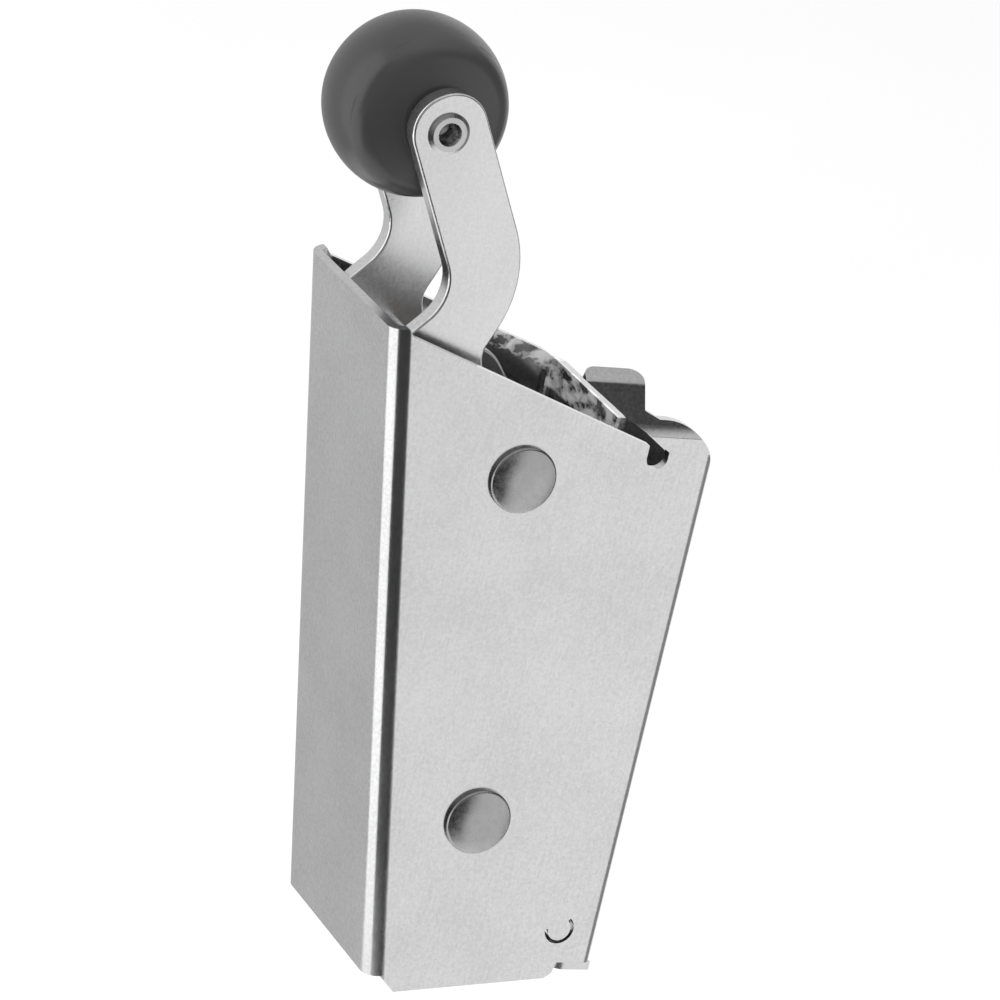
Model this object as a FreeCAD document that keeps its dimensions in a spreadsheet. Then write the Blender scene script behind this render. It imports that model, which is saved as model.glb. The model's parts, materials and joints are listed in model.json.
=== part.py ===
"""Spring-action roller-arm door closer, built as a parametric document.

Frame: millimetres, +Z up along the mounting face, X along the pivot pins, +Y out of the
mounting face into the door.  The origin is the centre of the mounting plate's back face.
"""
import FreeCAD, Part
import math
import os
import re
import Sketcher

os.makedirs("parts", exist_ok=True)
doc = FreeCAD.newDocument("door_closer")

# ---------------------------------------------------------------- driving dimensions
DIMENSIONS = {
    # folded housing
    "half_width": 19.05, "wall": 1.6, "front_bend": 3.2, "back_bend": 2.0,
    "blank_low_z": -60.0, "blank_high_z": 80.0, "blank_low_y": -39.31, "blank_high_y": -65.51,
    "top_front_y": -60.6, "top_front_z": 68.98, "side_top_y": -59.6, "side_top_z": 67.71,
    "side_top_end_y": -12.8, "side_top_end_z": 51.42, "back_out_y": 5.0,
    "far_slope_end_y": -16.6, "far_slope_end_z": 53.4, "far_top_end_z": 52.2, "far_back_z": 43.5,
    "front_edge_out_y": -75.0, "front_edge_out_z": 66.29,
    "toe_front_y": -38.5, "toe_front_z": -46.9, "toe_chamfer_z": -47.8, "toe_y": -36.2,
    "toe_z": -49.95, "heel_y": -8.6, "heel_z": -46.95, "heel_edge_y": -7.3, "heel_edge_z": -45.9,
    "step_y": -6.9, "step_z": -43.9, "cut_low_z": -70.0, "cut_high_z": 90.0,
    "cut_low_y": -30.0,
    "bottom_out_y": -60.0, "bottom_out_z": -50.92,
    "flange_gap": 11.5, "notch_y": -10.85, "notch_z": 49.25, "notch_radius": 1.95,
    "lobe_round": 10.0, "lobe_low_z": 50.4, "fold_z": 53.0,
    # hooked tab on top of the near lobe, as seen from the side and from the front
    "fold_lean": 28.0, "fold_rise": 9.2, "fold_round": 8.0, "fold_low_z": 48.0,
    "hook_lean": 66.0, "hook_length": 2.7, "hook_round": 2.6, "tab_round": 2.4,
    "tab_front_y": -25.0, "tab_low_z": 60.6, "tab_neck_y": -17.5, "tab_neck_z": 55.56,
    "tab_rear_y": -14.1, "tab_foot_z": 56.8, "lobe_step_y": -11.3, "lobe_top_z": 55.6,
    # cross flange folded in from the far wall
    "cross_y": -14.4, "cross_tip_x": 9.0, "cross_low_z": 43.5, "cross_bend": 2.2,
    "stake_y": -7.8, "stake_z": -37.6, "stake_radius": 2.1, "stake_slot": 0.6,
    # pins through the housing
    "pivot_y": -34.6, "pivot_z": 44.3, "pivot_radius": 4.0,
    "anchor_y": -28.1, "anchor_z": -17.6, "anchor_radius": 3.2,
    "head_radius": 5.85, "head_rim": 0.9, "head_crown": 1.5, "head_flat": 1.5, "head_edge": 0.5,
    "slip": 0.03, "side_gap": 0.08,
    # arm cheeks
    "cheek_outer": 14.3, "cheek_thick": 3.2,
    "axle_y": -59.2, "axle_z": 100.85,
    "tip_front_y": -67.66, "tip_front_z": 103.88, "tip_rear_y": -56.04, "tip_rear_z": 109.71,
    "shoulder_y": -38.78, "shoulder_z": 77.12, "hollow_y": -44.75, "hollow_z": 63.4,
    "neck_y": -42.8, "neck_z": 59.4, "hub_top_y": -29.0, "hub_top_z": 54.6,
    "hub_rear_y": -19.8, "hub_rear_z": 43.0,
    "heel_rear_y": -19.2, "heel_rear_z": 23.4, "heel_front_y": -35.0, "heel_front_z": 22.6,
    "hub_front_y": -46.0, "hub_front_z": 38.6, "toe_low_y": -55.2, "toe_low_z": 48.2,
    "toe_tip_y": -60.0, "toe_tip_z": 64.4, "waist_y": -51.43, "waist_z": 73.33,
    "tip_round": 6.3, "shoulder_round": 20.0, "hollow_round": 5.0, "neck_round": 2.5,
    "hub_round": 7.0, "toe_round": 3.0, "waist_round": 8.0, "cheek_edge": 0.4,
    "bush_radius": 5.5, "pivot_spacer_radius": 8.0,
    # tie between the cheeks
    "tie_y": -50.0, "tie_z": 56.0, "tie_radius": 2.4, "tie_sleeve_radius": 4.0,
    "tie_head_radius": 4.2, "tie_head": 1.0,
    # roller
    "roller_half": 10.0, "roller_radius": 15.0, "roller_bore": 4.5, "roller_hub_radius": 6.2,
    "roller_side": 8.5, "roller_side_radius": 12.7, "roller_edge": 4.2, "roller_hub_edge": 8.0,
    "axle_radius": 2.8, "axle_head_radius": 4.4, "axle_head": 1.2, "axle_roll_radius": 3.5,
    "axle_roll": 0.6, "axle_hollow_radius": 1.7, "axle_hollow_depth": 4.0,
    "washer_radius": 5.6, "washer_thick": 0.9,
    # spring and its guide
    "crank_z": 31.0, "crank_radius": 3.0, "crank_head_radius": 4.4, "crank_head": 1.1,
    "crank_spacer_radius": 4.4, "eye_half": 4.0, "eye_radius": 6.6, "eye_bore": 4.0,
    "rod_radius": 3.0, "rod_end_z": -8.5, "collar_radius": 5.2, "collar_low_z": 24.5,
    "collar_high_z": 26.0, "upper_seat_radius": 9.6, "upper_seat_low_z": 22.3,
    "wire_radius": 1.5, "coil_radius": 8.0, "coil_turns": 7.5,
    "flange_low_z": -10.2, "flange_high_z": -8.2, "flange_radius": 9.8,
    "lower_seat_high_z": -7.2, "boss_high_z": 1.0, "boss_radius": 5.3, "boss_bore": 3.45,
    "bore_low_z": -12.4, "block_half_x": 8.0, "block_half_y": 6.6, "block_low_z": -24.8,
    "block_round": 4.0,
    "trunnion_bore": 4.2, "anchor_spacer_radius": 5.4,
    # rubber stop behind the front wall
    "stop_half": 15.0, "stop_thick": 1.5, "stop_low_z": 45.0, "stop_high_z": 52.5,
    "stop_low_y": -57.33, "stop_high_y": -58.73,
    # mounting plate
    "plate_half": 11.3, "plate_thick": 2.5, "plate_high_z": 45.7, "lip_low_z": -45.6,
    "lip_high_z": -44.0, "lip_y": -7.0, "lip_half": 18.3, "lip_round": 2.2,
    "ear_half": 16.8, "ear_front_y": -3.7, "ear_back_y": -1.7, "ear_height": 12.0,
    "ear_z": 32.0, "screw_x": 6.5, "screw_z": 31.0, "screw_radius": 2.75, "plate_round": 2.5,
}

sizes = doc.addObject("Spreadsheet::Sheet", "Sizes")
for row, (alias, number) in enumerate(DIMENSIONS.items(), start=1):
    sizes.set(f"A{row}", alias)
    sizes.set(f"B{row}", str(number))
    sizes.setAlias(f"B{row}", alias)
doc.recompute()

FREE = 400.0   # longer than the whole closer, for cuts that run right through
PLANE_AXES = {"YZ_Plane": (1, 2), "XZ_Plane": (0, 2), "XY_Plane": (0, 1)}
vector = FreeCAD.Vector


# ---------------------------------------------------------------- shared helpers
def value(expression):
    """Number that an expression over the sheet's aliases gives."""
    return float(sizes.evalExpression(expression))


def bound(expression):
    """The same expression as an object outside the sheet has to write it."""
    return re.sub(r"[a-z_]+\b(?!\()", lambda word: f"Sizes.{word.group()}", expression)


def new_body(label):
    body = doc.addObject("PartDesign::Body", label)
    body.Label = label
    return body


def new_sketch(body, name, role, offset="0"):
    """Sketch on one of the body's origin planes, shifted along the plane's normal."""
    sketch = body.newObject("Sketcher::SketchObject", name)
    plane = [part for part in body.Origin.OriginFeatures if part.Role == role][0]
    sketch.AttachmentSupport = [(plane, "")]
    sketch.MapMode = "FlatFace"
    if offset != "0":
        sketch.setExpression("AttachmentOffset.Base.z", bound(offset))
    return sketch


def pin_point(sketch, geometry, point, across, up):
    """Ties a sketch point to the origin with two distances read from the sheet."""
    for kind, expression in (("DistanceX", across), ("DistanceY", up)):
        size = value(expression)
        index = sketch.addConstraint(
            Sketcher.Constraint(kind, -1, 1, geometry, point, size))
        sketch.setExpression(f"Constraints[{index}]", bound(expression))


def draw_polygon(sketch, corners, arcs=None):
    """Closed outline whose corners are (across, up) expressions.

    arcs gives, for the sides that bulge, the radius expression under the side's number; such
    a side is the short arc whose centre lies on the right of the way round.
    """
    arcs = arcs or {}
    points = [vector(value(across), value(up), 0) for across, up in corners]
    ends = []
    for side, (start, end) in enumerate(zip(points, points[1:] + points[:1])):
        if side in arcs:
            radius = value(arcs[side])
            half = (end - start).Length / 2
            outward = vector(start.y - end.y, end.x - start.x, 0).normalize()
            rise = radius - math.sqrt(radius ** 2 - half ** 2)
            curve = Part.Arc(start, (start + end) / 2 + outward * rise, end)
            ends.append((sketch.addGeometry(curve), 2, 1))
        else:
            ends.append((sketch.addGeometry(Part.LineSegment(start, end)), 1, 2))
    for (line, _, last), (following, opening, _) in zip(ends, ends[1:] + ends[:1]):
        sketch.addConstraint(Sketcher.Constraint("Coincident", line, last, following, opening))
    for (line, opening, _), (across, up) in zip(ends, corners):
        pin_point(sketch, line, opening, across, up)
    for side, radius in arcs.items():
        size = sketch.addConstraint(Sketcher.Constraint("Radius", ends[side][0], value(radius)))
        sketch.setExpression(f"Constraints[{size}]", bound(radius))


def draw_rectangle(sketch, left, low, right, high):
    draw_polygon(sketch, [(left, low), (right, low), (right, high), (left, high)])


def draw_circle(sketch, across, up, radius):
    circle = Part.Circle(vector(value(across), value(up), 0), vector(0, 0, 1), value(radius))
    index = sketch.addGeometry(circle)
    pin_point(sketch, index, 3, across, up)
    size = sketch.addConstraint(Sketcher.Constraint("Radius", index, value(radius)))
    sketch.setExpression(f"Constraints[{size}]", bound(radius))


def extrude(body, kind, sketch, length, midplane=False, backwards=False):
    """Pad or Pocket of a sketch along its normal."""
    feature = body.newObject(f"PartDesign::{kind}", f"{sketch.Name}_{kind.lower()}")
    feature.Profile = sketch
    feature.setExpression("Length", bound(length))
    feature.Midplane = midplane
    feature.Reversed = backwards
    sketch.Visibility = False
    doc.recompute()
    return feature


def pad(body, sketch, length, midplane=False, backwards=False):
    return extrude(body, "Pad", sketch, length, midplane, backwards)


def pocket(body, sketch, length, midplane=False, backwards=False):
    """Pocket that has to take material away."""
    before = body.Shape.Volume
    feature = extrude(body, "Pocket", sketch, length, midplane, backwards)
    if feature.Shape.Volume > before - 1e-3:
        raise RuntimeError(f"{sketch.Name} cuts nothing from {body.Label}")
    return feature


def spin(body, sketch, axis_role):
    """Revolution of a half section about one of the body's own axes."""
    feature = body.newObject("PartDesign::Revolution", f"{sketch.Name}_turned")
    feature.Profile = sketch
    axis = [part for part in body.Origin.OriginFeatures if part.Role == axis_role][0]
    feature.ReferenceAxis = (axis, [""])
    feature.Angle = 360.0
    sketch.Visibility = False
    doc.recompute()
    return feature


def round_edges(body, radius, chosen):
    """Fillet on every edge of the body's last feature that the test picks."""
    base = body.Tip
    names = [f"Edge{number}" for number, edge in enumerate(base.Shape.Edges, start=1)
             if chosen(edge)]
    fillet = body.newObject("PartDesign::Fillet", f"{body.Name}_round")
    fillet.Base = (base, names)
    fillet.setExpression("Radius", bound(radius))
    doc.recompute()
    return fillet


def edges_through(role, corners):
    """Test that picks straight edges square to a plane that start at the given corners."""
    first, second = PLANE_AXES[role]
    places = [(value(across), value(up)) for across, up in corners]

    def chosen(edge):
        ends = [vertex.Point for vertex in edge.Vertexes]
        return len(ends) == 2 and any(
            all(abs(end[first] - across) < 0.02 and abs(end[second] - up) < 0.02 for end in ends)
            for across, up in places)

    return chosen


def place(body, across="0", depth="0", height="0"):
    """Moves a body that was drawn about its own axis to its place in the closer."""
    for letter, expression in (("x", across), ("y", depth), ("z", height)):
        if expression != "0":
            body.setExpression(f"Placement.Base.{letter}", bound(expression))


def turned_about_x(label, corners, depth, height, arcs=None):
    """Body of revolution about an X axis; corners are (along X, radius)."""
    body = new_body(label)
    section = new_sketch(body, f"{label}_section", "XZ_Plane")
    draw_polygon(section, corners, arcs)
    spin(body, section, "X_Axis")
    place(body, depth=depth, height=height)
    return body


def tube_corners(start, end, inner, outer):
    return [(start, inner), (end, inner), (end, outer), (start, outer)]


def mirrored_pair(label, corners, depth, height):
    """Two equal turned rings, one on each side of the middle plane, in one object."""
    body = turned_about_x(f"{label}_near", corners, depth, height)
    mirror = doc.addObject("Part::Mirroring", f"{label}_far")
    mirror.Source = body
    mirror.Normal = vector(1, 0, 0)
    pair = doc.addObject("Part::Compound", label)
    pair.Links = [body, mirror]
    doc.recompute()
    return pair


def draw_corner_cut(sketch, across, up, radius):
    """Area outside a rounded top back corner, with a millimetre to spare all round."""
    left, low = f"{across} - {radius}", f"{up} - {radius}"
    right, high = f"{across} + 1", f"{up} + 1"
    corners = [(left, up), (left, high), (right, high), (right, low), (across, low)]
    points = [vector(value(one), value(two), 0) for one, two in corners]
    for start, end in zip(points, points[1:]):
        sketch.addGeometry(Part.LineSegment(start, end))
    circle = Part.Circle(vector(value(left), value(low), 0), vector(0, 0, 1), value(radius))
    arc = sketch.addGeometry(Part.ArcOfCircle(circle, 0, math.pi / 2))
    for line in range(3):
        sketch.addConstraint(Sketcher.Constraint("Coincident", line, 2, line + 1, 1))
    sketch.addConstraint(Sketcher.Constraint("Coincident", 3, 2, arc, 1))
    sketch.addConstraint(Sketcher.Constraint("Coincident", arc, 2, 0, 1))
    for line, (one, two) in enumerate(corners[:4]):
        pin_point(sketch, line, 1, one, two)
    pin_point(sketch, arc, 3, left, low)


def draw_arc_slot(sketch, across, up, inner, outer):
    """Curved slot from the centre's left, round below it, to its upper right."""
    right, rise = 0.643, 0.766
    ends = {}
    for radius in (inner, outer):
        circle = Part.Circle(vector(value(across), value(up), 0), vector(0, 0, 1), value(radius))
        arc = sketch.addGeometry(Part.ArcOfCircle(circle, math.pi, 2 * math.pi + math.radians(50)))
        pin_point(sketch, arc, 3, across, up)
        pin_point(sketch, arc, 1, f"{across} - ({radius})", up)
        size = sketch.addConstraint(Sketcher.Constraint(
            "DistanceY", -1, 1, arc, 2, value(f"{up} + {rise} * ({radius})")))
        sketch.setExpression(f"Constraints[{size}]", bound(f"{up} + {rise} * ({radius})"))
        ends[radius] = [vector(value(f"{across} - ({radius})"), value(up), 0),
                        vector(value(f"{across} + {right} * ({radius})"),
                               value(f"{up} + {rise} * ({radius})"), 0)]
    for point in (1, 2):
        line = sketch.addGeometry(Part.LineSegment(ends[inner][point - 1], ends[outer][point - 1]))
        sketch.addConstraint(Sketcher.Constraint("Coincident", line, 1, 0, point))
        sketch.addConstraint(Sketcher.Constraint("Coincident", line, 2, 1, point))


# ---------------------------------------------------------------- folded housing
WALL_ALONG_LEAN = "wall / 0.983"   # wall thickness measured level, on the leaning front


def make_blank(body):
    """Leaning box with rounded upright corners, hollowed out to the sheet's thickness."""
    outside = new_sketch(body, "housing_outside", "YZ_Plane")
    draw_polygon(outside, [("blank_low_y", "blank_low_z"), ("0", "blank_low_z"),
                           ("0", "blank_high_z"), ("blank_high_y", "blank_high_z")])
    pad(body, outside, "2 * half_width", midplane=True)

    def upright(edge, low_y, high_y, across):
        ends = [vertex.Point for vertex in edge.Vertexes]
        return (len(ends) == 2 and abs(ends[0].z - ends[1].z) > 100
                and all(low_y < end.y < high_y and abs(abs(end.x) - across) < 0.01
                        for end in ends))

    wide, narrow = value("half_width"), value("half_width - wall")
    round_edges(body, "front_bend", lambda edge: upright(edge, -70, -30, wide))
    round_edges(body, "back_bend", lambda edge: upright(edge, -1, 1, wide))

    inside = new_sketch(body, "housing_inside", "YZ_Plane")
    draw_polygon(inside, [(f"blank_low_y + {WALL_ALONG_LEAN}", "blank_low_z"),
                          ("-wall", "blank_low_z"), ("-wall", "blank_high_z"),
                          (f"blank_high_y + {WALL_ALONG_LEAN}", "blank_high_z")])
    pocket(body, inside, "2 * (half_width - wall)", midplane=True)
    round_edges(body, "front_bend - wall", lambda edge: upright(edge, -70, -30, narrow))

    window = new_sketch(body, "housing_back_window", "XZ_Plane")
    draw_rectangle(window, "-flange_gap", "blank_low_z - 1", "flange_gap", "blank_high_z + 1")
    pocket(body, window, "2 * wall", midplane=True)


def cut_side_view(body, name, draw, halves):
    """Cuts a side-view area away; halves is both, near or far."""
    sketch = new_sketch(body, name, "YZ_Plane")
    draw(sketch)
    pocket(body, sketch, str(FREE), midplane=halves == "both", backwards=halves == "near")


def trim_housing(body):
    """Gives the folded blank its sloping top, stepped bottom, notch and rear lobe."""
    front = [("front_edge_out_y", "cut_high_z"), ("front_edge_out_y", "front_edge_out_z"),
             ("top_front_y", "top_front_z"), ("side_top_y", "side_top_z")]
    near_back = [("side_top_end_y", "side_top_end_z"), ("side_top_end_y", "fold_z"),
                 ("back_out_y", "fold_z"), ("back_out_y", "cut_high_z")]
    far_back = [("far_slope_end_y", "far_slope_end_z"), ("cross_y", "far_top_end_z"),
                ("cross_y + wall", "far_top_end_z"), ("cross_y + wall", "far_back_z"),
                ("back_out_y", "far_back_z"), ("back_out_y", "cut_high_z")]
    bottom = [("bottom_out_y", "bottom_out_z"), ("toe_front_y", "toe_front_z"),
              ("toe_front_y", "toe_chamfer_z"), ("toe_y", "toe_z"), ("heel_y", "heel_z"),
              ("heel_edge_y", "heel_edge_z"), ("step_y", "step_z"), ("back_out_y", "step_z"),
              ("back_out_y", "cut_low_z"), ("bottom_out_y", "cut_low_z")]
    mouth = [("side_top_end_y", "notch_z"), ("notch_y + notch_radius", "notch_z"),
             ("notch_y + notch_radius", "lobe_low_z"), ("side_top_end_y", "fold_z")]
    cut_side_view(body, "far_top", lambda face: draw_polygon(face, front + far_back), "far")
    cut_side_view(body, "near_top", lambda face: draw_polygon(face, front + near_back), "near")
    cut_side_view(body, "bottom", lambda face: draw_polygon(face, bottom), "both")
    cut_side_view(body, "notch_mouth", lambda face: draw_polygon(face, mouth), "near")
    cut_side_view(body, "notch_foot",
                  lambda face: draw_circle(face, "notch_y", "notch_z", "notch_radius"), "near")
    cut_side_view(body, "lobe_corner",
                  lambda face: draw_corner_cut(face, "0", "lobe_top_z", "lobe_round"), "near")


def add_cross_flange(body):
    """Flange folded in from the far wall, across the opening behind the arm's way."""
    sketch = new_sketch(body, "cross_flange", "XZ_Plane", "-cross_y")
    draw_rectangle(sketch, "-half_width", "cross_low_z", "cross_tip_x", "far_top_end_z")
    pad(body, sketch, "wall", backwards=True)
    round_edges(body, "cross_bend",
                edges_through("XY_Plane", [("wall - half_width", "cross_y")]))
    outer = "(cross_bend + wall)"
    corner = new_sketch(body, "cross_outer_bend", "XY_Plane", "cross_low_z")
    draw_polygon(corner, [
        ("-half_width - 1", "cross_y + wall + 1"),
        ("-half_width - 1", f"cross_y + wall - {outer}"),
        ("-half_width", f"cross_y + wall - {outer}"),
        (f"{outer} - half_width", "cross_y + wall"),
        (f"{outer} - half_width", "cross_y + wall + 1")], {2: outer})
    pocket(body, corner, str(FREE), backwards=True)


def fold_corner(rise, lean, depth):
    """Point on the tab's section: rise up the leaning sheet, depth inside its outer face."""
    return (f"half_width - {rise} * sin({lean}) - {depth} * cos({lean})",
            f"fold_z + {rise} * cos({lean}) - {depth} * sin({lean})")


def make_tab():
    """Top of the near lobe: leans in over the opening and hooks over at its free end."""
    body = new_body("tab")
    section = new_sketch(body, "tab_section", "XZ_Plane", "-tab_front_y")
    bend_x, bend_z = fold_corner("fold_rise", "fold_lean", "0")
    inner_x, inner_z = fold_corner("(fold_rise - wall * tan((hook_lean - fold_lean) / 2))",
                                   "fold_lean", "wall")
    end_x = f"{bend_x} - hook_length * sin(hook_lean)"
    end_z = f"{bend_z} + hook_length * cos(hook_lean)"
    inner_fold_z = "fold_z - wall * tan(fold_lean / 2)"
    draw_polygon(section, [
        ("half_width", "fold_low_z"), ("half_width", "fold_z"), (bend_x, bend_z), (end_x, end_z),
        (f"{end_x} - wall * cos(hook_lean)", f"{end_z} - wall * sin(hook_lean)"),
        (inner_x, inner_z), ("half_width - wall", inner_fold_z),
        ("half_width - wall", "fold_low_z")])
    pad(body, section, "-tab_front_y", backwards=True)
    bends = {"fold_round": ("half_width", "fold_z"),
             "fold_round - wall": ("half_width - wall", inner_fold_z),
             "hook_round": (bend_x, bend_z), "hook_round - wall": (inner_x, inner_z)}
    for radius, place_of_bend in bends.items():
        round_edges(body, radius, edges_through("XZ_Plane", [place_of_bend]))

    above = [("back_out_y", "cut_high_z"), ("tab_rear_y", "cut_high_z")]
    below = [("back_out_y", "cut_low_z"), ("cut_low_y", "cut_low_z")]
    cut_side_view(body, "tab_shoulder", lambda face: draw_polygon(face, [
        ("tab_rear_y", "tab_foot_z"), ("lobe_step_y", "lobe_top_z"),
        ("back_out_y", "lobe_top_z")] + above), "both")
    cut_side_view(body, "tab_underside", lambda face: draw_polygon(face, [
        ("cut_low_y", "tab_low_z"), ("tab_front_y", "tab_low_z"), ("tab_neck_y", "tab_neck_z"),
        ("side_top_end_y", "fold_z"), ("notch_y + notch_radius", "lobe_low_z"),
        ("back_out_y", "lobe_low_z")] + below), "both")
    cut_side_view(body, "tab_back",
                  lambda face: draw_corner_cut(face, "0", "lobe_top_z", "lobe_round"), "both")
    hook_z = value(bend_z)
    round_edges(body, "tab_round", lambda edge: is_hook_corner(edge, hook_z))
    return body


def is_hook_corner(edge, above_z):
    """True for the short edges across the sheet at the hook's two corners."""
    ends = [vertex.Point for vertex in edge.Vertexes]
    return (len(ends) == 2 and edge.Length < value("wall") + 0.01
            and abs(ends[0].y - ends[1].y) < 0.01 and max(end.z for end in ends) > above_z + 0.5)


def make_housing():
    """One sheet folded round the front, both sides and two narrow flanges at the back."""
    body = new_body("housing_sheet")
    make_blank(body)
    trim_housing(body)
    add_cross_flange(body)
    for name in ("pivot", "anchor"):
        cut_side_view(body, f"{name}_holes", lambda face: draw_circle(
            face, f"{name}_y", f"{name}_z", f"{name}_radius + slip"), "both")
    cut_side_view(body, "stake_slots", lambda face: draw_arc_slot(
        face, "stake_y", "stake_z", "stake_radius", "stake_radius + stake_slot"), "both")
    housing = doc.addObject("Part::MultiFuse", "housing")
    housing.Shapes = [body, make_tab()]
    housing.Refine = True
    doc.recompute()
    return housing


def make_mounting_plate():
    """Screw plate between the back flanges, with ears in front of them and a bottom lip."""
    body = new_body("mounting_plate")
    face = new_sketch(body, "plate_face", "XZ_Plane")
    draw_rectangle(face, "-plate_half", "lip_low_z", "plate_half", "plate_high_z")
    pad(body, face, "plate_thick")
    lip = new_sketch(body, "plate_lip", "XY_Plane", "lip_low_z")
    draw_rectangle(lip, "-lip_half", "lip_y", "lip_half", "0")
    pad(body, lip, "lip_high_z - lip_low_z")
    for name, sign in (("upper", ""), ("lower", "-")):
        ear = new_sketch(body, f"{name}_ears", "XZ_Plane", "-ear_back_y")
        draw_rectangle(ear, "-ear_half", f"{sign}ear_z - ear_height / 2",
                       "ear_half", f"{sign}ear_z + ear_height / 2")
        pad(body, ear, "ear_back_y - ear_front_y")
    holes = new_sketch(body, "plate_screw_holes", "XZ_Plane")
    for across in ("screw_x", "-screw_x"):
        for up in ("screw_z", "-screw_z"):
            draw_circle(holes, across, up, "screw_radius")
    pocket(body, holes, str(FREE), midplane=True)
    round_edges(body, "lip_round", edges_through(
        "XY_Plane", [("lip_half", "lip_y"), ("-lip_half", "lip_y")]))
    round_edges(body, "plate_round", edges_through(
        "XZ_Plane", [("plate_half", "plate_high_z"), ("-plate_half", "plate_high_z")]))
    return body


def make_stop_bumper():
    """Rubber strip on the front wall's inner face, where the arm comes to rest."""
    body = new_body("stop_bumper")
    side = new_sketch(body, "stop_side", "YZ_Plane")
    draw_polygon(side, [("stop_low_y", "stop_low_z"), ("stop_low_y + stop_thick", "stop_low_z"),
                        ("stop_high_y + stop_thick", "stop_high_z"),
                        ("stop_high_y", "stop_high_z")])
    pad(body, side, "2 * stop_half", midplane=True)
    return body


# ---------------------------------------------------------------- pins and rings
def make_headed_pin(name):
    """Pin through both side walls, with a low domed head riveted up on each side."""
    face, rim = "half_width + 0.01", "half_width + head_rim"
    crown = "half_width + head_crown"
    near = [(face, f"{name}_radius"), (face, "head_radius"), (rim, "head_radius"),
            (crown, "head_flat"), (crown, "0")]
    far = [(f"-({across})", up) for across, up in reversed(near)]
    dome = ("((head_radius - head_flat) ^ 2 + (head_crown - head_rim) ^ 2)"
            " / (2 * (head_crown - head_rim))")
    body = turned_about_x(f"{name}_pin", far + near, f"{name}_y", f"{name}_z",
                          {1: dome, 7: dome})
    rim_x, radius = value(rim), value("head_radius")
    round_edges(body, "head_edge", lambda edge: is_ring_of(edge, radius)
                and abs(abs(edge.BoundBox.Center.x) - rim_x) < 0.01)
    return body


def make_rings(label, start, end, inner, outer, depth, height):
    return mirrored_pair(label, tube_corners(start, end, inner, outer), depth, height)


def make_bush(label, half_length, inner, outer, depth, height):
    corners = tube_corners(f"-({half_length})", half_length, inner, outer)
    return turned_about_x(label, corners, depth, height)


def make_double_headed_rivet(label, radius, head_radius, head, depth, height):
    """Rivet across the arm, with a small flat head outside each cheek."""
    face, end = "cheek_outer + 0.01", f"cheek_outer + {head}"
    half = [(end, "0"), (end, f"{head_radius} - 0.5"), (f"{end} - 0.5", head_radius),
            (face, head_radius), (face, radius)]
    far = [(f"-({across})", up) for across, up in reversed(half)]
    return turned_about_x(label, half + far, depth, height)


# ---------------------------------------------------------------- arm
CHEEK_CORNERS = ("tip_front", "tip_rear", "shoulder", "hollow", "neck", "hub_top",
                 "hub_rear", "heel_rear", "heel_front", "hub_front", "toe_low", "toe_tip",
                 "waist")


def make_cheek(label, offset):
    """Boomerang side plate of the arm, from the roller's axle down to the crank pin."""
    body = new_body(label)
    outline = new_sketch(body, f"{label}_outline", "YZ_Plane", offset)
    draw_polygon(outline, [(f"{corner}_y", f"{corner}_z") for corner in CHEEK_CORNERS])
    pad(body, outline, "cheek_thick")
    roundings = {"tip_round": ["tip_front", "tip_rear"], "shoulder_round": ["shoulder"],
                 "hollow_round": ["hollow"], "neck_round": ["neck"],
                 "toe_round": ["toe_low", "toe_tip"],
                 "hub_round": ["hub_top", "hub_rear", "heel_rear", "heel_front", "hub_front"],
                 "waist_round": ["waist"]}
    for radius, corners in roundings.items():
        round_edges(body, radius, edges_through(
            "YZ_Plane", [(f"{corner}_y", f"{corner}_z") for corner in corners]))
    round_edges(body, "cheek_edge", is_square_to_x)
    holes = new_sketch(body, f"{label}_holes", "YZ_Plane")
    draw_circle(holes, "axle_y", "axle_z", "axle_radius + slip")
    draw_circle(holes, "pivot_y", "pivot_z", "bush_radius + slip")
    draw_circle(holes, "anchor_y", "crank_z", "crank_radius + slip")
    draw_circle(holes, "tie_y", "tie_z", "tie_radius + slip")
    pocket(body, holes, str(FREE), midplane=True)
    return body


def is_square_to_x(edge):
    box = edge.BoundBox
    return box.XLength < 0.01


def make_roller_axle():
    """Rivet with a flat far head and a hollow near end rolled over on the cheek."""
    far, near = "-(cheek_outer + 0.01)", "cheek_outer + 0.01"
    hollow_end = "cheek_outer + axle_roll"
    corners = [("-(cheek_outer + axle_head)", "0"),
               ("-(cheek_outer + axle_head)", "axle_head_radius - 0.5"),
               ("-(cheek_outer + axle_head - 0.5)", "axle_head_radius"),
               (far, "axle_head_radius"), (far, "axle_radius"), (near, "axle_radius"),
               (near, "axle_roll_radius"), ("cheek_outer + axle_roll / 2", "axle_roll_radius"),
               (hollow_end, "axle_roll_radius - 0.6"), (hollow_end, "axle_hollow_radius + 0.3"),
               ("cheek_outer", "axle_hollow_radius"),
               ("cheek_outer - axle_hollow_depth", "axle_hollow_radius"),
               ("cheek_outer - axle_hollow_depth - 0.8", "0")]
    return turned_about_x("roller_axle", corners, "axle_y", "axle_z")


def make_roller():
    """Ball roller: a crowned turning with sloping sides, a flat hub and a bore for its bush."""
    crown = ("((roller_radius - roller_side_radius) ^ 2 + roller_side ^ 2)"
             " / (2 * (roller_radius - roller_side_radius))")
    body = turned_about_x("roller", [
        ("-roller_half", "roller_bore"), ("-roller_half", "roller_hub_radius"),
        ("-roller_side", "roller_side_radius"), ("roller_side", "roller_side_radius"),
        ("roller_half", "roller_hub_radius"), ("roller_half", "roller_bore")],
        "axle_y", "axle_z", {2: crown})
    for ring, rounding in (("roller_side_radius", "roller_edge"),
                           ("roller_hub_radius", "roller_hub_edge")):
        radius = value(ring)
        round_edges(body, rounding, lambda edge: is_ring_of(edge, radius))
    return body


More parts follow.
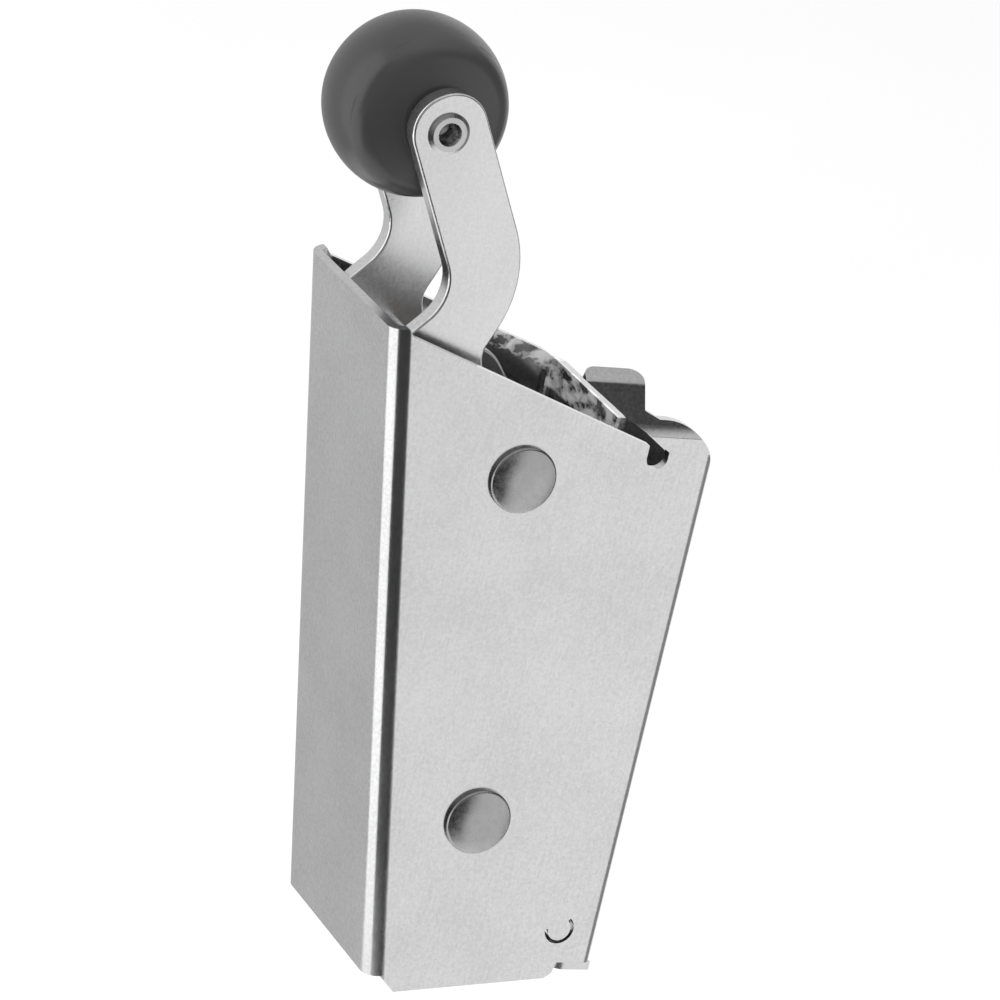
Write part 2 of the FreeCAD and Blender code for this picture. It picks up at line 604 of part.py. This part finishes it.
def is_ring_of(edge, radius):
    """True for a circle of that radius about an X axis."""
    box = edge.BoundBox
    return box.XLength < 0.01 and abs(box.YLength - 2 * radius) < 0.02


# ---------------------------------------------------------------- spring and its guide
def add_upright_cylinder(body, name, low, high, radius):
    """Pad of a circle on the body's own Z axis."""
    sketch = new_sketch(body, name, "XY_Plane", low)
    draw_circle(sketch, "0", "0", radius)
    return pad(body, sketch, f"({high}) - ({low})")


def make_guide_rod():
    """Spring guide: an eye on the crank pin, a collar under it and a plain rod."""
    body = new_body("guide_rod")
    eye = new_sketch(body, "rod_eye", "YZ_Plane")
    draw_circle(eye, "0", "crank_z", "eye_radius")
    pad(body, eye, "2 * eye_half", midplane=True)
    add_upright_cylinder(body, "rod_collar", "collar_low_z", "collar_high_z", "collar_radius")
    add_upright_cylinder(body, "rod_stem", "rod_end_z", "crank_z", "rod_radius")
    bore = new_sketch(body, "rod_eye_bore", "YZ_Plane")
    draw_circle(bore, "0", "crank_z", "eye_bore + slip")
    pocket(body, bore, str(FREE), midplane=True)
    place(body, depth="anchor_y")
    return body


def make_disc(label, low, high, inner, outer):
    """Flat washer about the spring's axis."""
    body = new_body(label)
    sketch = new_sketch(body, f"{label}_rings", "XY_Plane", low)
    draw_circle(sketch, "0", "0", outer)
    draw_circle(sketch, "0", "0", inner)
    pad(body, sketch, f"({high}) - ({low})")
    place(body, depth="anchor_y")
    return body


def make_trunnion():
    """Block that turns on the anchor pin, with a spring flange and a guide for the rod."""
    body = new_body("trunnion")
    block = new_sketch(body, "trunnion_block", "XY_Plane", "block_low_z")
    draw_rectangle(block, "-block_half_x", "-block_half_y", "block_half_x", "block_half_y")
    pad(body, block, "flange_low_z - block_low_z")
    round_edges(body, "block_round", is_block_foot)
    add_upright_cylinder(body, "trunnion_flange", "flange_low_z", "flange_high_z", "flange_radius")
    add_upright_cylinder(body, "trunnion_boss", "flange_low_z", "boss_high_z", "boss_radius")
    bore = new_sketch(body, "trunnion_rod_bore", "XY_Plane", "boss_high_z")
    draw_circle(bore, "0", "0", "boss_bore")
    pocket(body, bore, "boss_high_z - bore_low_z")
    cross = new_sketch(body, "trunnion_pin_bore", "YZ_Plane")
    draw_circle(cross, "0", "anchor_z", "trunnion_bore + slip")
    pocket(body, cross, str(FREE), midplane=True)
    place(body, depth="anchor_y")
    return body


def is_block_foot(edge):
    ends = [vertex.Point for vertex in edge.Vertexes]
    return all(abs(end.z - value("block_low_z")) < 0.01 for end in ends) and \
        abs(ends[0].x - ends[1].x) > 1


def make_spring():
    """Compression spring with ground ends, between its two seats."""
    low, high = "lower_seat_high_z + 0.02", "upper_seat_low_z - 0.02"
    length = f"({high}) - ({low})"
    coil_low = f"{low} - wire_radius"
    coil_length = f"{length} + 2 * wire_radius"
    helix = doc.addObject("Part::Helix", "spring_path")
    helix.setExpression("Radius", bound("coil_radius"))
    helix.setExpression("Height", bound(coil_length))
    helix.setExpression("Pitch", bound(f"({coil_length}) / coil_turns"))
    helix.setExpression("Placement.Base.z", bound(coil_low))
    wire = doc.addObject("Part::Circle", "spring_wire_section")
    wire.setExpression("Radius", bound("wire_radius"))
    wire.Placement.Rotation = FreeCAD.Rotation(vector(1, 0, 0), 90)
    wire.setExpression("Placement.Base.x", bound("coil_radius"))
    wire.setExpression("Placement.Base.z", bound(coil_low))
    coil = doc.addObject("Part::Sweep", "spring_coil")
    coil.Sections = [wire]
    coil.Spine = (helix, ["Edge1"])
    coil.Solid = True
    coil.Frenet = True
    room = doc.addObject("Part::Cylinder", "spring_room")
    room.setExpression("Radius", bound("coil_radius + 3 * wire_radius"))
    room.setExpression("Height", bound(length))
    room.setExpression("Placement.Base.z", bound(low))
    spring = doc.addObject("Part::Common", "spring")
    spring.Base, spring.Tool = coil, room
    spring.setExpression("Placement.Base.y", bound("anchor_y"))
    doc.recompute()
    return spring


# ---------------------------------------------------------------- the whole closer
def make_arm():
    """Everything that swings on the pivot pin and doesn't turn on the arm."""
    inner_face = "cheek_outer - cheek_thick"
    between = f"{inner_face} - side_gap"
    return [
        make_cheek("near_cheek", inner_face),
        make_cheek("far_cheek", "-cheek_outer"),
        make_bush("pivot_bush", "cheek_outer", "pivot_radius + slip", "bush_radius",
                  "pivot_y", "pivot_z"),
        make_bush("tie_sleeve", between, "tie_radius + slip", "tie_sleeve_radius",
                  "tie_y", "tie_z"),
        make_double_headed_rivet("tie_rivet", "tie_radius", "tie_head_radius", "tie_head",
                                 "tie_y", "tie_z"),
        make_double_headed_rivet("crank_pin", "crank_radius", "crank_head_radius",
                                 "crank_head", "anchor_y", "crank_z"),
        make_rings("crank_spacers", "eye_half + side_gap", between, "crank_radius + slip",
                   "crank_spacer_radius", "anchor_y", "crank_z"),
        make_roller_axle(),
        make_rings("roller_washers", f"{between} - washer_thick", between,
                   "axle_radius + slip", "washer_radius", "axle_y", "axle_z"),
    ]


def make_spring_parts():
    return [
        make_guide_rod(),
        make_bush("rod_eye_bush", "eye_half", "crank_radius + slip", "eye_bore",
                  "anchor_y", "crank_z"),
        make_disc("upper_spring_seat", "upper_seat_low_z", "collar_low_z",
                  "rod_radius + slip", "upper_seat_radius"),
        make_spring(),
        make_disc("lower_spring_seat", "flange_high_z", "lower_seat_high_z",
                  "boss_radius + slip", "upper_seat_radius"),
        make_trunnion(),
        make_bush("trunnion_bush", "block_half_x", "anchor_radius + slip", "trunnion_bore",
                  "anchor_y", "anchor_z"),
    ]


def make_fixed_parts():
    inside = "half_width - wall - side_gap"
    return [
        make_housing(),
        make_mounting_plate(),
        make_stop_bumper(),
        make_headed_pin("pivot"),
        make_headed_pin("anchor"),
        make_rings("pivot_spacers", "cheek_outer + side_gap", inside, "pivot_radius + slip",
                   "pivot_spacer_radius", "pivot_y", "pivot_z"),
        make_rings("anchor_spacers", "block_half_x + side_gap", inside,
                   "anchor_radius + slip", "anchor_spacer_radius", "anchor_y", "anchor_z"),
    ]


def make_roller_parts():
    return [
        make_roller(),
        make_bush("roller_bush", "roller_half", "axle_radius + slip", "roller_bore - slip",
                  "axle_y", "axle_z"),
    ]


def export(nodes):
    """Checks every object of the document, then writes one file for each sub-part."""
    doc.recompute()
    for item in doc.Objects:
        if {"Invalid", "Error"} & set(item.State):
            raise RuntimeError(f"{item.Name} failed: {item.State}")
    for node in nodes:
        if node.Shape.isNull() or not node.Shape.isValid() or node.Shape.Volume <= 0:
            raise RuntimeError(f"{node.Label} has no sound shape")
        node.Shape.exportStep(f"parts/{node.Label}.step")
        print(node.Label, len(node.Shape.Solids), round(node.Shape.Volume, 1))


export(make_fixed_parts() + make_arm() + make_roller_parts() + make_spring_parts())
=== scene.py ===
"""Looks of the roller-arm door closer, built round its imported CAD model.

Frame: metres, +Z up along the mounting face, X along the pins, +Y into the door.
"""
import json
import math

import bpy
from mathutils import Matrix, Vector


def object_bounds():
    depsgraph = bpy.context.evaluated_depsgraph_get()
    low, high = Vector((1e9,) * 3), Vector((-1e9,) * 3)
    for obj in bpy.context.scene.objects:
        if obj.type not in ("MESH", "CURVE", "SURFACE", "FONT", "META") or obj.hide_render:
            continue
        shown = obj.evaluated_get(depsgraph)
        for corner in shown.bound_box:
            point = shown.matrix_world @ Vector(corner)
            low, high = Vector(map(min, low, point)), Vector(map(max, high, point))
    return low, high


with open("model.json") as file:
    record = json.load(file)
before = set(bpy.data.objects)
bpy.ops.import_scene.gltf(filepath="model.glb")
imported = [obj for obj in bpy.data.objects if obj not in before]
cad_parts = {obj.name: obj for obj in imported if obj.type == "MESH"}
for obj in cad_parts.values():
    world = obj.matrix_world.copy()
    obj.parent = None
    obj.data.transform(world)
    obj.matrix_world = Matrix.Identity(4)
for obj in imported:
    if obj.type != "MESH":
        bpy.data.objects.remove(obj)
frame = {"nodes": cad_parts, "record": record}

CAD_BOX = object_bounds()
NODES = frame["nodes"]

# (y, z) of the two ends of the side walls' sloping top edge
SIDE_TOP_FRONT = (-0.0596, 0.0677)
SIDE_TOP_BACK = (-0.0128, 0.0514)

# Housing's spots of painted reflection, each range as (low, high, soft edge). The margin runs along
# the far wall's inner face behind the arm, down from the sloping edge; the flange's spot is on its
# front face.
MARGIN_DEPTH = (-0.01, 0.002, 0.0006)
MARGIN_Y = (-0.036, -0.0135, 0.002)
MARGIN_X = (-0.0177, -0.016, 0.0002)
FLANGE_X = (-0.0172, 0.01, 0.0004)
FLANGE_Y = (-0.0152, -0.014, 0.0002)
FLANGE_Z = (0.0475, 0.06, 0.0005)

# Boards round the closer that only its reflections see: start and end angle in degrees from +X to
# +Y, light low down, light high up, and the two heights between which the one fades to the other
CARD_DISTANCE = 0.42
CARD_LOW, CARD_HIGH = -0.34, 0.45
CARD_FADE = (0.03, 0.16)
CARDS = {
    "dark_card": (12, -60, 0.045, 0.3, (-0.03, 0.12)),
    "bend_card": (-60, -76, 1.5, 0.02, (-0.06, 0.04)),
    "bright_card": (-76, -122, 1.5, 1.5, CARD_FADE),
    "grey_card": (-122, -200, 0.58, 0.72, (-0.2, 0.1)),
    "side_card": (12, 52, 1.02, 0.03, (0.08, 0.27)),
    "rear_card": (52, 100, 0.3, 0.05, CARD_FADE),
}
CEILING_LIGHT = 0.55


# ---------------------------------------------------------------- shader helpers
def new_material(name):
    """Empty node material with an output and a Principled shader."""
    material = bpy.data.materials.new(name)
    material.use_nodes = True
    tree = material.node_tree
    tree.nodes.clear()
    output = tree.nodes.new("ShaderNodeOutputMaterial")
    shader = tree.nodes.new("ShaderNodeBsdfPrincipled")
    tree.links.new(shader.outputs["BSDF"], output.inputs["Surface"])
    return material, tree, shader


def object_point(tree, scale=(1.0, 1.0, 1.0)):
    """The surface point in the object's own metres, stretched by scale."""
    coordinates = tree.nodes.new("ShaderNodeTexCoord")
    mapping = tree.nodes.new("ShaderNodeMapping")
    mapping.inputs["Scale"].default_value = scale
    tree.links.new(coordinates.outputs["Object"], mapping.inputs["Vector"])
    return mapping.outputs["Vector"]


def noise(tree, point, scale, detail=3.0, roughness=0.55):
    node = tree.nodes.new("ShaderNodeTexNoise")
    node.inputs["Scale"].default_value = scale
    node.inputs["Detail"].default_value = detail
    node.inputs["Roughness"].default_value = roughness
    tree.links.new(point, node.inputs["Vector"])
    return node.outputs["Fac"]


def spread(tree, factor, low, high, from_low=0.3, from_high=0.7):
    """Maps the range from_low-from_high to low-high, and holds the ends beyond it."""
    node = tree.nodes.new("ShaderNodeMapRange")
    for name, number in (("From Min", from_low), ("From Max", from_high),
                         ("To Min", low), ("To Max", high)):
        node.inputs[name].default_value = number
    tree.links.new(factor, node.inputs["Value"])
    return node.outputs["Result"]


def calculate(tree, operation, first, second):
    node = tree.nodes.new("ShaderNodeMath")
    node.operation = operation
    for socket, item in zip(node.inputs, (first, second)):
        if isinstance(item, (int, float)):
            socket.default_value = item
        else:
            tree.links.new(item, socket)
    return node.outputs["Value"]


def product(tree, *factors):
    total = factors[0]
    for factor in factors[1:]:
        total = calculate(tree, "MULTIPLY", total, factor)
    return total


def weighted_sum(tree, *terms):
    """Sum of the (weight, socket) pairs."""
    total = calculate(tree, "MULTIPLY", terms[0][1], terms[0][0])
    for weight, socket in terms[1:]:
        total = calculate(tree, "ADD", total, calculate(tree, "MULTIPLY", socket, weight))
    return total


def band(tree, number, limits):
    """1 between the limits' low and high, fading to 0 over the soft width on both sides."""
    low, high, soft = limits
    rise = spread(tree, number, 0.0, 1.0, low - soft, low)
    fall = spread(tree, number, 1.0, 0.0, high, high + soft)
    return product(tree, rise, fall)


def tint(tree, dark, light, factor):
    """Colour between dark and light."""
    node = tree.nodes.new("ShaderNodeMix")
    node.data_type = "RGBA"
    node.inputs["A"].default_value = (*dark, 1.0)
    node.inputs["B"].default_value = (*light, 1.0)
    tree.links.new(factor, node.inputs["Factor"])
    return node.outputs["Result"]


def bump(tree, shader, height, strength, distance):
    node = tree.nodes.new("ShaderNodeBump")
    node.inputs["Strength"].default_value = strength
    node.inputs["Distance"].default_value = distance
    tree.links.new(height, node.inputs["Height"])
    tree.links.new(node.outputs["Normal"], shader.inputs["Normal"])


def blend_socket(tree, shader, socket, target, factor):
    """Moves a shader's value or colour towards target where factor is high."""
    source = shader.inputs[socket]
    node = tree.nodes.new("ShaderNodeMix")
    node.data_type = "RGBA" if source.type == "RGBA" else "FLOAT"
    if source.is_linked:
        tree.links.new(source.links[0].from_socket, node.inputs["A"])
    else:
        node.inputs["A"].default_value = source.default_value
    node.inputs["B"].default_value = target
    tree.links.new(factor, node.inputs["Factor"])
    tree.links.new(node.outputs["Result"], source)


# ---------------------------------------------------------------- materials
def grey(level):
    return (level, level, level * 1.01)


def satin_steel(name, tone, roughness, grain, contrast=0.1):
    """Rolled sheet: a fine speckle, faint lines along the grain and cloudy stains."""
    material, tree, shader = new_material(name)
    fine, along = 3600.0, 260.0
    stretch = {"x": (along, fine, fine), "z": (fine, fine, along)}[grain]
    lines = noise(tree, object_point(tree, stretch), 1.0, 3.0, 0.6)
    speckle = noise(tree, object_point(tree), 1700.0, 4.0, 0.75)
    clouds = noise(tree, object_point(tree), 60.0, 3.0)
    mixed = weighted_sum(tree, (0.55, speckle), (0.2, lines), (0.25, clouds))
    low, high = 0.4, 0.6   # the mixed noise seldom leaves this range
    level = spread(tree, mixed, 0.0, 1.0, low, high)
    tree.links.new(tint(tree, grey(tone * (1 - contrast)), grey(tone * (1 + contrast)), level),
                   shader.inputs["Base Color"])
    tree.links.new(spread(tree, mixed, roughness * 0.9, roughness * 1.1, low, high),
                   shader.inputs["Roughness"])
    shader.inputs["Metallic"].default_value = 1.0
    bump(tree, shader, speckle, 0.12, 0.000008)
    return material, tree, shader


def depth_below_slope(tree, along, height):
    """How far a point lies below the side walls' sloping top edge."""
    slope = (SIDE_TOP_BACK[1] - SIDE_TOP_FRONT[1]) / (SIDE_TOP_BACK[0] - SIDE_TOP_FRONT[0])
    edge = calculate(tree, "ADD", calculate(tree, "MULTIPLY", along, slope),
                     SIDE_TOP_FRONT[1] - slope * SIDE_TOP_FRONT[0])
    return calculate(tree, "SUBTRACT", edge, height)


def painted_light_housing(name, tone, roughness):
    """Satin sheet with pale, dull, blotched spots of painted reflection on the inner margin and the
    flange.
    """
    material, tree, shader = satin_steel(name, tone, roughness, "z")
    split = tree.nodes.new("ShaderNodeSeparateXYZ")
    tree.links.new(object_point(tree), split.inputs["Vector"])
    across, along, height = split.outputs
    blotch_scale, ragged_width = (260.0, 330.0, 480.0), 0.006
    blotches = noise(tree, object_point(tree, blotch_scale), 1.0, 4.0, 0.65)
    ragged = calculate(tree, "MULTIPLY", calculate(tree, "SUBTRACT", blotches, 0.5), ragged_width)
    depth = calculate(tree, "ADD", depth_below_slope(tree, along, height), ragged)
    margin = product(tree, band(tree, depth, MARGIN_DEPTH), band(tree, along, MARGIN_Y),
                     band(tree, across, MARGIN_X))
    flange = product(tree, band(tree, along, FLANGE_Y), band(tree, height, FLANGE_Z),
                     band(tree, across, FLANGE_X))
    painted_light_mask = product(tree, calculate(tree, "MAXIMUM", margin, flange),
                      spread(tree, blotches, 0.0, 1.0, 0.41, 0.57))
    # painted reflection: a pale, dull, non-metal finish stands in for the light these spots reflect
    painted_light_finish = {"Metallic": 0.0, "Roughness": 0.6, "Base Color": (*grey(0.93), 1.0)}
    for socket, painted_light_value in painted_light_finish.items():
        blend_socket(tree, shader, socket, painted_light_value, painted_light_mask)
    return material


def turned_steel(name, tone, roughness):
    """Headed or turned steel: soft mottling and a light scatter of small marks."""
    material, tree, shader = new_material(name)
    mottle = noise(tree, object_point(tree), 900.0, 4.0)
    clouds = noise(tree, object_point(tree), 180.0, 3.0)
    level = spread(tree, calculate(tree, "MULTIPLY", mottle, calculate(tree, "ADD", clouds, 0.5)),
                   0.0, 1.0, 0.3, 0.7)
    tree.links.new(tint(tree, grey(tone * 0.86), grey(tone * 1.06), level),
                   shader.inputs["Base Color"])
    tree.links.new(spread(tree, mottle, roughness * 0.8, roughness * 1.2), shader.inputs["Roughness"])
    shader.inputs["Metallic"].default_value = 1.0
    bump(tree, shader, mottle, 0.2, 0.00002)
    return material


def moulded(name, dark, light, roughness, coat=0.0):
    """Moulded plastic or rubber: a very fine skin texture and faint flow marks."""
    material, tree, shader = new_material(name)
    skin = noise(tree, object_point(tree), 1500.0, 3.0)
    flow = noise(tree, object_point(tree), 70.0, 2.0)
    tree.links.new(tint(tree, dark, light, spread(tree, flow, 0.0, 1.0)),
                   shader.inputs["Base Color"])
    tree.links.new(spread(tree, skin, roughness * 0.9, roughness * 1.12), shader.inputs["Roughness"])
    shader.inputs["Coat Weight"].default_value = coat
    shader.inputs["Coat Roughness"].default_value = 0.12
    bump(tree, shader, skin, 0.12, 0.00002)
    return material


def bronze(name):
    """Sintered bronze: a speckled, slightly oily surface."""
    material, tree, shader = new_material(name)
    speckle = noise(tree, object_point(tree), 2600.0, 5.0, 0.7)
    tree.links.new(tint(tree, (0.25, 0.22, 0.18), (0.4, 0.36, 0.3),
                        spread(tree, speckle, 0.0, 1.0)), shader.inputs["Base Color"])
    tree.links.new(spread(tree, speckle, 0.32, 0.5), shader.inputs["Roughness"])
    shader.inputs["Metallic"].default_value = 1.0
    bump(tree, shader, speckle, 0.3, 0.00002)
    return material


def make_materials():
    """One material for each slot of the record."""
    return {
        "housing_steel": painted_light_housing("housing_steel", 0.64, 0.2),
        "plate_steel": satin_steel("plate_steel", 0.66, 0.3, "x")[0],
        "pin_steel": turned_steel("pin_steel", 0.4, 0.26),
        "arm_steel": satin_steel("arm_steel", 0.73, 0.24, "z", 0.08)[0],
        "rivet_steel": turned_steel("rivet_steel", 0.6, 0.26),
        "roller_nylon": moulded("roller_nylon", (0.036, 0.036, 0.037), (0.043, 0.043, 0.044),
                                0.34, 0.12),
        "spacer_nylon": moulded("spacer_nylon", (0.62, 0.60, 0.53), (0.7, 0.68, 0.61), 0.45),
        "bush_bronze": bronze("bush_bronze"),
        "rod_steel": turned_steel("rod_steel", 0.45, 0.3),
        "spring_wire": turned_steel("spring_wire", 0.16, 0.36),
        "trunnion_iron": turned_steel("trunnion_iron", 0.3, 0.45),
        "stop_rubber": moulded("stop_rubber", (0.012, 0.012, 0.012), (0.02, 0.02, 0.02), 0.6),
    }


def dress_nodes(materials):
    """Gives every CAD node the material of its own slot."""
    for entry in frame["record"]["subparts"]:
        mesh = NODES[entry["node"]].data
        mesh.materials.clear()
        mesh.materials.append(materials[entry["material_slot"]])


# ---------------------------------------------------------------- studio
def plain_mesh(name, corners, faces):
    mesh = bpy.data.meshes.new(name)
    mesh.from_pydata(corners, [], faces)
    mesh.update()
    piece = bpy.data.objects.new(name, mesh)
    bpy.context.scene.collection.objects.link(piece)
    return piece


def level_square(name, half, height):
    corners = [(-half, -half, height), (half, -half, height),
               (half, half, height), (-half, half, height)]
    return plain_mesh(name, corners, [(0, 1, 2, 3)])


def make_floor():
    """Large pale floor well below the closer, which hangs on a door."""
    drop, half = 0.3, 6.0
    floor = level_square("floor", half, CAD_BOX[0][2] - drop)
    material, tree, shader = new_material("floor_paint")
    cloud = noise(tree, object_point(tree), 3.0, 2.0)
    tree.links.new(tint(tree, (0.93, 0.93, 0.93), (0.95, 0.95, 0.95), spread(tree, cloud, 0.0, 1.0)),
                   shader.inputs["Base Color"])
    shader.inputs["Roughness"].default_value = 0.9
    shader.inputs["Specular IOR Level"].default_value = 0.1
    floor.data.materials.append(material)


def aim(place, target):
    """Rotation that points an object's -Z from place to target, with +Y up."""
    return (Vector(target) - Vector(place)).to_track_quat("-Z", "Y").to_matrix().to_4x4()


def add_softbox(name, place, target, size, power):
    light = bpy.data.lights.new(name, "AREA")
    light.shape = "SQUARE"
    light.size = size
    light.energy = power
    lamp = bpy.data.objects.new(name, light)
    lamp.matrix_world = Matrix.Translation(place) @ aim(place, target)
    bpy.context.scene.collection.objects.link(lamp)


def light_world(level):
    world = bpy.data.worlds.new("studio")
    world.use_nodes = True
    world.node_tree.nodes["Background"].inputs["Color"].default_value = (1.0, 1.0, 1.0, 1.0)
    world.node_tree.nodes["Background"].inputs["Strength"].default_value = level
    bpy.context.scene.world = world


def card_glow(name, level, shade, low, high):
    """Even light of one level up to the height low, fading to shade at the height high."""
    material = bpy.data.materials.new(name)
    material.use_nodes = True
    tree = material.node_tree
    tree.nodes.clear()
    coordinates = tree.nodes.new("ShaderNodeTexCoord")
    split = tree.nodes.new("ShaderNodeSeparateXYZ")
    tree.links.new(coordinates.outputs["Object"], split.inputs["Vector"])
    glow = tree.nodes.new("ShaderNodeEmission")
    tree.links.new(spread(tree, split.outputs["Z"], level, shade, low, high),
                   glow.inputs["Strength"])
    output = tree.nodes.new("ShaderNodeOutputMaterial")
    tree.links.new(glow.outputs["Emission"], output.inputs["Surface"])
    return material


def show_in_reflections_only(board):
    board.visible_camera = False
    board.visible_diffuse = False
    board.visible_transmission = False
    board.visible_shadow = False


def add_card(name, start, end, level, shade, fade):
    """Curved upright board, from the angle start to the angle end."""
    step_angle = 5
    steps = max(2, round(abs(end - start) / step_angle))
    corners, faces = [], []
    for step in range(steps + 1):
        angle = math.radians(start + (end - start) * step / steps)
        across, along = CARD_DISTANCE * math.cos(angle), CARD_DISTANCE * math.sin(angle)
        corners += [(across, along, CARD_LOW), (across, along, CARD_HIGH)]
    for step in range(steps):
        first = 2 * step
        faces.append((first, first + 2, first + 3, first + 1))
    card = plain_mesh(name, corners, faces)
    card.data.materials.append(card_glow(name, level, shade, *fade))
    show_in_reflections_only(card)


def add_ceiling():
    """Level board that closes the ring of cards at the top."""
    board = level_square("ceiling", CARD_DISTANCE, CARD_HIGH)
    board.data.materials.append(card_glow("ceiling", CEILING_LIGHT, CEILING_LIGHT, *CARD_FADE))
    show_in_reflections_only(board)


def make_studio():
    make_floor()
    light_world(1.0)
    add_softbox("top_light", place=(0.1, -0.2, 1.1), target=(0.0, -0.03, 0.03),
                size=1.2, power=6.0)
    for name, card in CARDS.items():
        add_card(name, *card)
    add_ceiling()
    scene = bpy.context.scene
    scene.view_settings.view_transform = "Standard"
    scene.view_settings.look = "None"


def make_camera():
    """Camera above and to the right of the front, turned so that the closer leans left."""
    lens = bpy.data.cameras.new("camera")
    lens.lens = 219.59
    lens.sensor_width = 36.0
    lens.clip_start, lens.clip_end = 0.05, 20.0
    camera = bpy.data.objects.new("camera", lens)
    right = (0.38952, 0.89569, 0.21451)
    up = (-0.39655, -0.04711, 0.9168)
    back = (0.83128, -0.44217, 0.33684)
    place = (0.84775, -0.47853, 0.37622)
    turn = Matrix((right, up, back)).transposed().to_4x4()
    camera.matrix_world = Matrix.Translation(place) @ turn
    bpy.context.scene.collection.objects.link(camera)
    bpy.context.scene.camera = camera


dress_nodes(make_materials())
make_studio()
make_camera()
